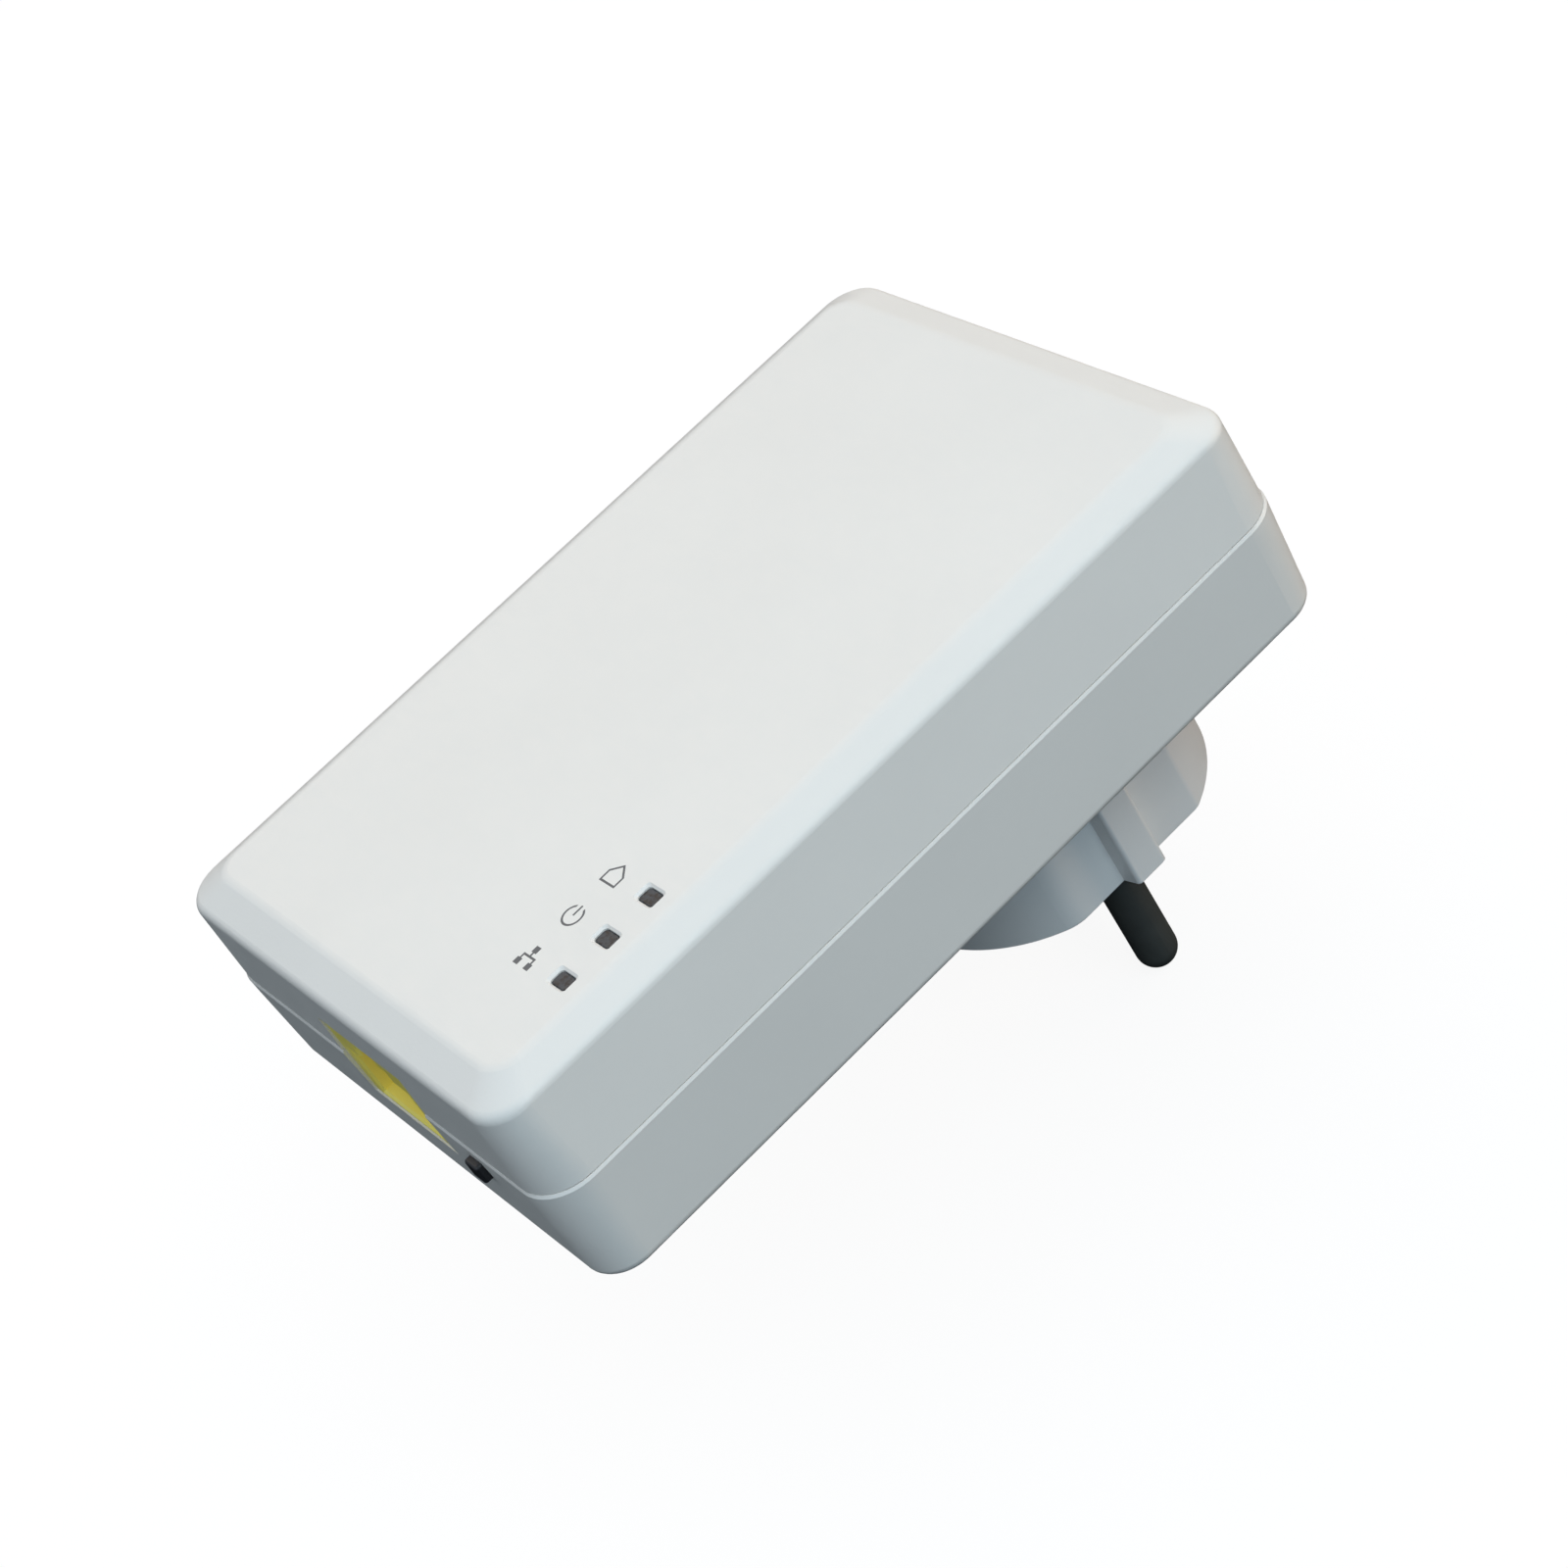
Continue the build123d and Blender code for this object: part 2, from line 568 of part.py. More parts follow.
def pairing_button():
    wall_y = END_Y + REAR_DRAFT * (Z_SEAM - BUTTON_Z) / REAR_DEPTH
    flange_y = END_Y + REAR_DRAFT + WALL + BUTTON_FLANGE_GAP
    half = BUTTON_SIZE / 2
    stem = block(around(BUTTON_X, half), (wall_y - BUTTON_PROUD, flange_y), around(BUTTON_Z, half))
    stem = fillet(
        stem.faces().sort_by(Axis.Y)[0].edges() + stem.edges().filter_by(Axis.Y), BUTTON_EDGE)
    half = BUTTON_FLANGE / 2
    back_y = flange_y + BUTTON_FLANGE_THICKNESS
    flange = block(around(BUTTON_X, half), (flange_y, back_y), around(BUTTON_Z, half))
    nodes["pairing_button"] = stem + flange

    switch_y = back_y + 2 * BUTTON_TRAVEL
    nodes["switch_plunger"] = rod_along_y(
        BUTTON_X, (back_y, switch_y + PLUNGER_DEPTH), BUTTON_Z, PLUNGER_RADIUS)
    body = standing(BUTTON_X, switch_y + SWITCH_SIZE[1] / 2, SWITCH_SIZE, BOARD_TOP, SWITCH_EDGE)
    bore = (switch_y - 1, switch_y + PLUNGER_DEPTH + BUTTON_TRAVEL + BUTTON_FLANGE_GAP)
    body -= rod_along_y(BUTTON_X, bore, BUTTON_Z, PLUNGER_RADIUS + PLUNGER_GAP)
    nodes["button_switch"] = body


def status_lights():
    width = WINDOW_SIZE[0] - 2 * (WINDOW_SLOPE + WINDOW_GAP)
    length = WINDOW_SIZE[1] - 2 * (WINDOW_SLOPE + WINDOW_GAP)
    head_top = Z_FRONT - WINDOW_RECESS
    flange_low = Z_CEILING - PIPE_FLANGE_THICKNESS
    lamp_top = BOARD_TOP + LAMP_SIZE[2] + LAMP_DOME
    for name, y in zip(WINDOW_NAMES, window_places()):
        outline = RectangleRounded(width, length, WINDOW_CORNER)
        head = extrude(Pos(WINDOW_X, y, flange_low) * outline, head_top - flange_low)
        head = fillet(edges_at(head, head_top), PIPE_EDGE)
        flange = standing(
            WINDOW_X, y,
            (width + 2 * PIPE_FLANGE, length + 2 * PIPE_FLANGE, PIPE_FLANGE_THICKNESS), flange_low)
        stem_low = lamp_top + LAMP_GAP
        stem = standing(WINDOW_X, y, (*PIPE_STEM, flange_low - stem_low), stem_low)
        nodes["light_pipe_" + name] = head + flange + stem
        lamp = standing(WINDOW_X, y, LAMP_SIZE, BOARD_TOP)
        dome_low = BOARD_TOP + LAMP_SIZE[2]
        dome = Pos(WINDOW_X, y, dome_low) * Sphere(LAMP_DOME)
        upper = block(around(WINDOW_X, LAMP_DOME), around(y, LAMP_DOME), (dome_low, lamp_top))
        nodes["led_" + name] = lamp + (dome & upper)


def house_symbol():
    """An outlined house."""
    half = ICON_SIZE / 2
    outer = Polygon((-half, -half), (half, -half), (half, HOUSE_EAVES), (0, half),
                    (-half, HOUSE_EAVES), align=None)
    return outer - offset(outer, -ICON_LINE, kind=Kind.INTERSECTION)


def power_symbol():
    """A ring, open at its top, with an upright bar in the opening."""
    half = ICON_SIZE / 2
    ring = Circle(half) - Circle(half - ICON_LINE)
    ring -= Pos(0, half) * Rectangle(POWER_OPENING * ICON_SIZE, ICON_SIZE)
    bar_length = POWER_BAR * ICON_SIZE
    return ring + Pos(0, half - bar_length / 2) * Rectangle(ICON_LINE, bar_length)


def network_symbol():
    """One square joined to two others below it."""
    square = SQUARE_SIZE * ICON_SIZE
    arm = (ICON_SIZE - square) / 2
    tree = Pos(0, arm) * Rectangle(square, square)
    tree += Pos(0, arm / 2) * Rectangle(ICON_LINE, arm)
    tree += Rectangle(2 * arm + ICON_LINE, ICON_LINE)
    for side in (-1, 1):
        tree += Pos(side * arm, -arm) * Rectangle(square, square)
        tree += Pos(side * arm, -arm / 2) * Rectangle(ICON_LINE, arm)
    return tree


def placed_symbols(z):
    """The three symbols beside their windows, at height z."""
    symbols = (house_symbol(), power_symbol(), network_symbol())
    return [Pos(ICON_X, y, z) * symbol for symbol, y in zip(symbols, window_places())]


def status_icons():
    prints = [extrude(symbol, ICON_DEPTH) for symbol in placed_symbols(Z_FRONT - ICON_DEPTH)]
    nodes["status_icons"] = Compound(children=prints)


# ---- boards ----
def board(width, y):
    """A circuit board with its corners cut away round the screw posts."""
    sheet = block(around(0, width / 2), y, (BOARD_BOTTOM, BOARD_TOP))
    reach = POST_RADIUS + BOARD_CORNER_GAP
    for post_x, post_y in screw_places():
        sheet -= rod(post_x, post_y, BOARD_BOTTOM - 1, BOARD_TOP + 1, reach)
        outward = 2 * reach if post_x > 0 else -2 * reach
        sheet -= Pos(post_x + outward, post_y, BOARD_TOP) * Box(4 * reach, 2 * reach, 2 * WALL)
        beyond = 2 * reach if post_y > CASE_CENTRE_Y else -2 * reach
        sheet -= Pos(post_x, post_y + beyond, BOARD_TOP) * Box(2 * reach, 4 * reach, 2 * WALL)
    for x, pin_y in link_places():
        sheet -= rod(x, pin_y, BOARD_BOTTOM - 1, BOARD_TOP + 1, LINK_PIN_RADIUS + HOLE_GAP)
    return sheet


def boards():
    nodes["main_board"] = board(MAIN_WIDTH, MAIN_Y)
    power = board(POWER_WIDTH, POWER_Y)
    for x in around(0, PIN_SPACING / 2):
        power -= rod(x, 0, BOARD_BOTTOM - 1, BOARD_TOP + 1, TAIL_RADIUS + HOLE_GAP)
    nodes["power_board"] = power


def board_link():
    carrier = standing(0, LINK_Y, LINK_SIZE, BOARD_TOP)
    pins = []
    for x, y in link_places():
        carrier -= rod(x, y, BOARD_TOP - 1, BOARD_TOP + LINK_SIZE[2] + 1, LINK_PIN_RADIUS)
        pins.append(rod(x, y, BOARD_BOTTOM - 1, BOARD_TOP + LINK_SIZE[2], LINK_PIN_RADIUS))
    nodes["link_carrier"] = carrier
    nodes["link_pins"] = Compound(children=pins)


# ---- parts on the boards ----
def packages():
    """Chips with a dot at their first corner, plain blocks and upright capacitors."""
    inset, radius, depth = CHIP_MARK
    for name, (x, y), size in CHIPS:
        body = standing(x, y, size, BOARD_TOP, CHIP_EDGE)
        top = BOARD_TOP + size[2]
        mark_x = x - size[0] / 2 + inset
        mark_y = y + size[1] / 2 - inset
        nodes[name] = body - rod(mark_x, mark_y, top - depth, top + 1, radius)
    for name, (x, y), size, edge in BLOCKS:
        nodes[name] = standing(x, y, size, BOARD_TOP, edge)
    for name, (x, y), radius, height in CANS:
        can = rod(x, y, BOARD_TOP, BOARD_TOP + height, radius)
        nodes[name] = fillet(edges_at(can, BOARD_TOP + height), CAN_EDGE)


def heat_sink():
    (x, y), size = CHIPS[0][1:]
    base = BOARD_TOP + size[2]
    sink = standing(x, y, SINK_SIZE, base)
    for index in range(SINK_SLOTS):
        slot_x = x + (index - (SINK_SLOTS - 1) / 2) * SINK_SLOT_PITCH
        sink -= block(around(slot_x, SINK_SLOT_WIDTH / 2), around(y, SINK_SIZE[1]),
                      (base + SINK_BASE, base + SINK_SIZE[2] + 1))
    nodes["heat_sink"] = sink


def signal_coupler():
    x, y = COUPLER_PLACE
    width, height = COUPLER_WINDOW
    low = BOARD_TOP + COUPLER_FOOT
    core = standing(x, y, COUPLER_SIZE, BOARD_TOP, COUPLER_EDGE)
    window = block(around(x, width / 2), around(y, COUPLER_SIZE[1]), (low, low + height))
    nodes["coupling_core"] = core - window
    coil = block(around(x, width / 2 - COIL_GAP), around(y, COUPLER_COIL),
                 (low + COIL_GAP, low + height - COIL_GAP))
    nodes["coupling_winding"] = fillet(coil.edges().filter_by(Axis.Y), COIL_EDGE)


def fuse():
    z = BOARD_TOP + FUSE_CAP_RADIUS
    caps = [rod_along_x(reach, FUSE_Y, z, FUSE_CAP_RADIUS) for reach in (FUSE_X[:2], FUSE_X[2:])]
    nodes["fuse_caps"] = Compound(children=caps)
    nodes["fuse_tube"] = rod_along_x(FUSE_X[1:3], FUSE_Y, z, FUSE_TUBE_RADIUS)


def surge_varistor():
    x, y = VARISTOR_PLACE
    z = BOARD_TOP + VARISTOR_LIFT + VARISTOR_RADIUS
    disc = rod_along_x(around(x, VARISTOR_THICKNESS / 2), y, z, VARISTOR_RADIUS)
    nodes["surge_varistor"] = round_edges(disc, VARISTOR_EDGE)


def mains_choke():
    hole, rim = CHOKE_RADII
    place = Pos(*CHOKE_PLACE, BOARD_TOP + CHOKE_LIFT)
    core = Cylinder(rim, CHOKE_HEIGHT) - Cylinder(hole, 2 * CHOKE_HEIGHT)
    nodes["choke_core"] = place * round_edges(core, CHOKE_EDGE)
    gap = HOLE_GAP
    height = CHOKE_HEIGHT + 2 * (CHOKE_WIRE + gap)
    jacket = Cylinder(rim + gap + CHOKE_WIRE, height) - Cylinder(hole - gap - CHOKE_WIRE, 2 * height)
    inside = Cylinder(rim + gap, CHOKE_HEIGHT + 2 * gap) - Cylinder(hole - gap, 2 * height)
    windings = jacket - inside - Box(4 * rim, CHOKE_SPLIT, 2 * height)
    nodes["choke_windings"] = place * windings


def bulk_capacitor():
    z = BOARD_TOP + BULK_LIFT + BULK_RADIUS
    can = round_edges(rod_along_x(BULK_X, BULK_Y, z, BULK_RADIUS), BULK_EDGE)
    groove = rod_along_x(BULK_GROOVE, BULK_Y, z, BULK_RADIUS + 1)
    groove -= rod_along_x(BULK_GROOVE, BULK_Y, z, BULK_RADIUS - BULK_GROOVE_DEPTH)
    nodes["bulk_capacitor"] = can - groove


def transformer():
    x, y = TRANSFORMER_PLACE
    low, low_inside, high_inside, high = [BOARD_TOP + level for level in CORE_LEVELS]
    across = around(x, CORE_WIDTH / 2)
    core = block(across, around(y, CORE_LENGTH / 2), (low, high))
    core -= block(across, around(y, CORE_OPENING), (low_inside, high_inside))
    core += block(across, around(y, LEG_REACH), (low_inside, high_inside))
    nodes["transformer_core"] = core

    spool_low = low_inside + PART_GAP
    spool_high = high_inside - PART_GAP
    coil_levels = (spool_low + SPOOL_PLATE, spool_high - SPOOL_PLATE)
    flange_y = around(y, SPOOL_REACH[1])
    spool = block(around(x, SPOOL_REACH[0]), flange_y, (spool_low, coil_levels[0]))
    spool += block(around(x, SPOOL_TOP_REACH), flange_y, (coil_levels[1], spool_high))
    column = (around(x, COLUMN_REACH[0]), around(y, COLUMN_REACH[1]), (spool_low, spool_high))
    bore = (around(x, CORE_WIDTH / 2 + PART_GAP), around(y, LEG_REACH + PART_GAP), (low, high))
    nodes["transformer_bobbin"] = spool + block(*column) - block(*bore)

    coil = block(around(x, WINDING_REACH[0]), around(y, WINDING_REACH[1]), coil_levels)
    coil = fillet(coil.edges().filter_by(Axis.Z), WINDING_CORNER)
    nodes["transformer_winding"] = coil - block(*column)


def insulation_film():
    width, length, thickness = FILM_SIZE
    sheet = Pos(0, FILM_Y, Z_CEILING - thickness) * RectangleRounded(width, length, FILM_CORNER)
    nodes["insulation_film"] = extrude(sheet, thickness)


front_cover()
rear_cover()
case_screws()
rear_label()
plug_body()
plug_pins()
ethernet_jack()
ethernet_contacts()
pairing_button()
status_lights()
status_icons()
boards()
board_link()
packages()
heat_sink()
signal_coupler()
fuse()
surge_varistor()
mains_choke()
bulk_capacitor()
transformer()
insulation_film()

os.makedirs("parts", exist_ok=True)
for name, shape in nodes.items():
    export_step(shape, "parts/" + name + ".step")
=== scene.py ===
import json
import math

import bmesh
import bpy
from mathutils import Matrix, Vector


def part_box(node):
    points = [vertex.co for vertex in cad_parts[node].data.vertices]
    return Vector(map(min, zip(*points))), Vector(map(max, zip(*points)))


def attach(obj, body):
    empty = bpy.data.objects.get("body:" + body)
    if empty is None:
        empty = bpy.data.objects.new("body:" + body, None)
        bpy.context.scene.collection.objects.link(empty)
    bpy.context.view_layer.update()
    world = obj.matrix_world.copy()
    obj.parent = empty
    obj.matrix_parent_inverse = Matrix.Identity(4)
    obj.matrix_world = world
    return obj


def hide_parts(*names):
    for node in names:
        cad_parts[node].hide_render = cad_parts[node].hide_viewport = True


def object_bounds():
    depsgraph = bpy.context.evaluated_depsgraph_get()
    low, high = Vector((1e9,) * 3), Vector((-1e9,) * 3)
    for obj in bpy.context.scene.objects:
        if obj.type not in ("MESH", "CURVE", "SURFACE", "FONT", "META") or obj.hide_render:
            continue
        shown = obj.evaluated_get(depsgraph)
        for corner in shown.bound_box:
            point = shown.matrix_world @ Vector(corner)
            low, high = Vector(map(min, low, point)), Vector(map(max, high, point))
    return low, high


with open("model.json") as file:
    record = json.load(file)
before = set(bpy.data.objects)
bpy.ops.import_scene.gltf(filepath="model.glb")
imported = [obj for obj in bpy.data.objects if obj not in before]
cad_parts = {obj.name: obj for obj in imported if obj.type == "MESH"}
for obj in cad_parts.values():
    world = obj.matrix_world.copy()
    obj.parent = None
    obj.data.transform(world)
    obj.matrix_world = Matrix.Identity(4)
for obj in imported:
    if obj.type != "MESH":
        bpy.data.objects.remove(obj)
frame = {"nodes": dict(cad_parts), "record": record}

cad_low, cad_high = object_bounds()

# ---- viewpoint: where the camera stands, round a point near the case's middle ----
AIM = Vector((0.00395, -0.02342, 0.03013))
CAMERA_AZIMUTH = 72.65
CAMERA_ELEVATION = 36.38
CAMERA_ROLL = 33.27
CAMERA_DISTANCE = 0.3739
CAMERA_LENS = 85.6

# ---- stage and light ----
FLOOR_SIZE = 6.0
FLOOR_GAP = 0.0002
LAMP_DISTANCE = 1.1
WARM = (1.0, 0.74, 0.52)
PALE = (0.84, 0.96, 1.0)
SKY = (0.30, 0.70, 1.0)
COOL = (0.822, 0.912, 1.0)
SURROUND_RISE = (-0.2, 0.8)     # it brightens between these heights on a unit sphere
SURROUND_STRENGTH = 0.773
LAMP_SIZE = 0.7
LAMPS = (                       # name, direction from the case, watts and tint
    ("over_right", (1.0, 0.2, 0.9), 4.2, PALE),
    ("over_left", (-1.0, 0.2, 0.9), 2.4, WARM),
    ("far_end", (0.3, 1.0, 0.1), 5.1, WARM),
    ("right_side", (1.0, 0.1, 0.1), 1.0, SKY),
    ("near_end", (0.3, -1.0, 0.5), 0.45, SKY),
)

# ---- sizes of surface detail, in metres ----
CLOUD_SIZE = 0.018              # slow change of tone in moulded plastic
FLECK_SIZE = 0.0012
RUB_SIZE = 0.0009
PLASTIC_POLISH_AND_HIGHLIGHT_EDGE = 0.0006           # reach of the polish and of the painted highlight on plastic edges
METAL_LINE = 0.00018            # drawing lines, which are 12 times as long as wide
METAL_PATCH = 0.003
# reach of the painted highlight on metal edges
METAL_HIGHLIGHT_EDGE = 0.0003
LABEL_BORDER = 0.0012           # printed line, from the label's edge
TRACKS_PER_METRE = 420.0
VIAS_PER_METRE = 330.0

# ---- contact wires of the network socket ----
CONTACT_WIRES = 8
CONTACT_WIRE_PITCH = 0.001016
CONTACT_WIRE_RADIUS = 0.0002
CONTACT_WIRE_SHAPE = (          # how far along and how far up each bend stands, from 0 to 1
    (0.02, 0.0), (0.08, 0.0), (0.14, 0.12), (0.45, 0.62), (0.68, 0.95), (0.76, 1.0), (0.98, 0.96))

# ---- wire wound on the mains choke ----
CHOKE_HOLE = 0.537              # radius of the core's hole, from its outer radius
CHOKE_TURNS = 9                 # in each half
CHOKE_TURN_STEPS = 28
CHOKE_BARE = 17.0               # degrees of bare core at each end of a half
CHOKE_WIRE_RADIUS = 0.00034
CHOKE_WIRE_GAP = 0.00003

scene = bpy.context.scene
scene.view_settings.view_transform = "Standard"


# ---- node-based materials ----
class Look:
    """A material built from nodes, with its noise and bump in the object's own metres."""

    def __init__(self, name):
        self.material = bpy.data.materials.new(name)
        self.material.use_nodes = True
        self.tree = self.material.node_tree
        self.surface = self.tree.nodes["Principled BSDF"]
        self.place = self.tree.nodes.new("ShaderNodeTexCoord").outputs["Object"]

    def add(self, kind, inputs=None, **settings):
        """A node of this kind, with values or links for its inputs and its settings."""
        made = self.tree.nodes.new("ShaderNode" + kind)
        for key, value in settings.items():
            setattr(made, key, value)
        for key, value in (inputs or {}).items():
            self.feed(made.inputs[key], value)
        return made

    def feed(self, socket, value):
        """Links an output to the socket, or stores a plain value in it."""
        if isinstance(value, bpy.types.NodeSocket):
            self.tree.links.new(value, socket)
        else:
            socket.default_value = value

    def set(self, **values):
        """Sets inputs of the surface shader, with _ for a space in the input's name."""
        for key, value in values.items():
            self.feed(self.surface.inputs[key.replace("_", " ")], value)

    def stretch(self, x, y, z):
        """The object's coordinates, scaled along each axis."""
        return self.add("Mapping", {"Vector": self.place, "Scale": (x, y, z)}).outputs["Vector"]

    def noise(self, size, detail=2.0, place=None):
        """Cloudy noise from 0 to 1 whose blobs are about size metres across."""
        inputs = {"Vector": place or self.place, "Scale": 1 / size, "Detail": detail}
        return self.add("TexNoise", inputs).outputs["Fac"]

    def remap(self, value, low, high, to_low=0.0, to_high=1.0):
        """A value moved from one range to another, and held inside it."""
        inputs = {"Value": value, "From Min": low, "From Max": high, "To Min": to_low, "To Max": to_high}
        return self.add("MapRange", inputs, clamp=True).outputs["Result"]

    def mix(self, factor, first, second):
        """A colour between two colours."""
        made = self.add("Mix", data_type="RGBA")
        self.feed(made.inputs["Factor"], factor)
        self.feed(made.inputs["A"], first)
        self.feed(made.inputs["B"], second)
        return made.outputs["Result"]

    def math(self, operation, first, second):
        """One sum of two values."""
        made = self.add("Math", operation=operation)
        self.feed(made.inputs[0], first)
        self.feed(made.inputs[1], second)
        return made.outputs["Value"]

    def edges(self, radius):
        """1 on a sharp outer edge, 0 on a flat face."""
        soft = self.add("Bevel", {"Radius": radius}, samples=4).outputs["Normal"]
        true = self.add("NewGeometry").outputs["Normal"]
        made = self.add("VectorMath", {0: soft, 1: true}, operation="DOT_PRODUCT")
        return self.remap(made.outputs["Value"], 0.98, 0.80)

    def bump(self, height, distance, strength=1.0, normal=None):
        """A surface normal tilted by height, where 1 stands distance metres proud."""
        inputs = {"Height": height, "Distance": distance, "Strength": strength}
        if normal:
            inputs["Normal"] = normal
        return self.add("Bump", inputs).outputs["Normal"]


def colour(red, green, blue, scale=1.0):
    """An opaque colour, made lighter or darker by scale."""
    return (min(red * scale, 1), min(green * scale, 1), min(blue * scale, 1), 1)


def moulded_plastic(name, rgb, roughness, grain=0.00035, depth=0.000006, glow=0.0):
    """Injection-moulded plastic: spark-eroded grain, faint clouding, slightly polished edges and a
    painted highlight along them.

    A little glow is painted light: an emission in the plastic's own tone that brightens it, in place of
    light that scatters inside a bright, translucent plastic.
    """
    look = Look(name)
    cloud = look.noise(CLOUD_SIZE, 3.0)
    flecks = look.noise(FLECK_SIZE, 2.0)
    tone = look.mix(cloud, colour(*rgb, 0.97), colour(*rgb, 1.03))
    tone = look.mix(look.math("MULTIPLY", flecks, 0.08), tone, colour(*rgb, 0.88))
    edge = look.edges(PLASTIC_POLISH_AND_HIGHLIGHT_EDGE)
    # painted highlight: the base colour is lightened along sharp edges
    tone = look.mix(look.math("MULTIPLY", edge, 0.05), tone, colour(*rgb, 1.25))
    rub = look.noise(RUB_SIZE, 4.0, look.stretch(0.25, 1.0, 0.4))
    gloss = look.remap(rub, 0.35, 0.70, roughness - 0.05, roughness + 0.06)
    gloss = look.math("SUBTRACT", gloss, look.math("MULTIPLY", edge, 0.08))
    fine = look.noise(grain, 3.0)
    coarse = look.noise(grain * 4, 2.0)
    relief = look.math("ADD", fine, look.math("MULTIPLY", coarse, 0.5))
    look.set(Base_Color=tone, Roughness=gloss, Normal=look.bump(relief, depth))
    # painted glow: emission in the plastic's own tone, zero unless glow is given
    look.set(Emission_Color=tone, Emission_Strength=glow)
    return look.material


def plated_metal(name, rgb, roughness, along, depth=0.000004, metallic=1.0):
    """Plated or bare metal with fine drawing lines along one axis, dull patches and a painted highlight
    on its edges.
    """
    look = Look(name)
    stretch = [1.0 / 12 if axis == along else 1.0 for axis in "XYZ"]
    lines = look.noise(METAL_LINE, 3.0, look.stretch(*stretch))
    patches = look.noise(METAL_PATCH, 3.0)
    tone = look.mix(patches, colour(*rgb, 0.82), colour(*rgb, 1.15))
    gloss = look.remap(lines, 0.3, 0.7, roughness - 0.07, roughness + 0.12)
    edge = look.edges(METAL_HIGHLIGHT_EDGE)
    # painted highlight: the base colour is lightened along sharp edges
    tone = look.mix(look.math("MULTIPLY", edge, 0.5), tone, colour(*rgb, 1.5))
    look.set(Base_Color=tone, Metallic=metallic, Roughness=gloss, Normal=look.bump(lines, depth))
    return look.material


def circuit_board(name):
    """Green solder mask with copper tracks showing through as paler lines, and tiny vias."""
    look = Look(name)
    mask = colour(0.02, 0.16, 0.07)
    track = colour(0.05, 0.27, 0.12)
    bricks = look.add("TexBrick", {
        "Vector": look.place, "Scale": TRACKS_PER_METRE, "Mortar Size": 0.03, "Color1": mask,
        "Color2": colour(0.025, 0.18, 0.08), "Mortar": track})
    vias = look.add("TexVoronoi", {"Vector": look.place, "Scale": VIAS_PER_METRE})
    spot = look.remap(vias.outputs["Distance"], 0.10, 0.13, 1.0, 0.0)
    tone = look.mix(spot, bricks.outputs["Color"], colour(0.62, 0.60, 0.50))
    height = look.math("ADD", bricks.outputs["Fac"], spot)
    gloss = look.remap(look.noise(0.002), 0.3, 0.7, 0.25, 0.40)
    look.set(Base_Color=tone, Roughness=gloss, Normal=look.bump(height, 0.00002))
    return look.material


def wound_tape(name, rgb, pitch):
    """Turns of tape, as ridges that repeat along Z at the given pitch, with painted shade in the grooves
    and a painted highlight on the ridges.
    """
    look = Look(name)
    waves = look.add("TexWave", {"Vector": look.place, "Scale": math.tau / 20 / pitch},
                     bands_direction="Z")
    ridge = waves.outputs["Fac"]
    # painted shade and highlight: darker in the grooves between turns, lighter on the ridges
    tone = look.mix(ridge, colour(*rgb, 0.55), colour(*rgb, 1.1))
    gloss = look.remap(look.noise(0.001), 0.3, 0.7, 0.28, 0.42)
    look.set(Base_Color=tone, Roughness=gloss, Normal=look.bump(ridge, pitch * 0.3))
    return look.material


def smoked_lens(name):
    """Smoked plastic with a fine pale haze in its skin."""
    look = Look(name)
    haze = look.remap(look.noise(0.0005, 4.0), 0.35, 0.65)
    tone = look.mix(haze, colour(0.010, 0.013, 0.017), colour(0.064, 0.072, 0.082))
    gloss = look.remap(haze, 0.0, 1.0, 0.20, 0.40)
    relief = look.bump(look.noise(0.0003, 3.0), 0.00004)
    look.set(Base_Color=tone, Roughness=gloss, Normal=relief, Specular_IOR_Level=0.22)
    return look.material


def printed_ink(name):
    """Pad-printed grey ink, slightly uneven in cover."""
    look = Look(name)
    cover = look.noise(0.00025, 3.0)
    tone = look.mix(cover, colour(0.085, 0.09, 0.095), colour(0.15, 0.155, 0.165))
    gloss = look.remap(cover, 0.3, 0.7, 0.45, 0.6)
    look.set(Base_Color=tone, Roughness=gloss, Normal=look.bump(cover, 0.000004))
    return look.material


def label_film(name):
    """A blank satin label: metallised film with a fine grain and a thin printed border."""
    look = Look(name)
    low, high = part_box("rear_label")
    parts = look.add("SeparateXYZ", {"Vector": look.place})
    inside = None
    for axis, key in enumerate("XY"):
        middle = (low[axis] + high[axis]) / 2
        reach = (high[axis] - low[axis]) / 2 - LABEL_BORDER
        offset = look.math("SUBTRACT", parts.outputs[key], middle)
        away = look.math("SUBTRACT", look.math("ABSOLUTE", offset, 0.0), reach)
        inside = away if inside is None else look.math("MAXIMUM", inside, away)
    line = look.remap(look.math("ABSOLUTE", inside, 0.0), 0.00012, 0.00020, 1.0, 0.0)
    grain = look.noise(0.0003, 2.0, look.stretch(0.1, 1.0, 1.0))
    tone = look.mix(grain, colour(0.55, 0.56, 0.57), colour(0.66, 0.67, 0.68))
    tone = look.mix(line, tone, colour(0.25, 0.26, 0.27))
    gloss = look.remap(grain, 0.3, 0.7, 0.30, 0.42)
    look.set(Base_Color=tone, Roughness=gloss, Metallic=0.25, Normal=look.bump(grain, 0.000003))
    return look.material


def glazed(name, rgb, roughness):
    """A smooth glazed or dipped skin with a slow ripple."""
    look = Look(name)
    ripple = look.noise(0.0025, 2.0)
    tone = look.mix(ripple, colour(*rgb, 0.85), colour(*rgb, 1.1))
    gloss = look.remap(ripple, 0.3, 0.7, roughness - 0.04, roughness + 0.05)
    look.set(Base_Color=tone, Roughness=gloss, Normal=look.bump(ripple, 0.00012))
    return look.material


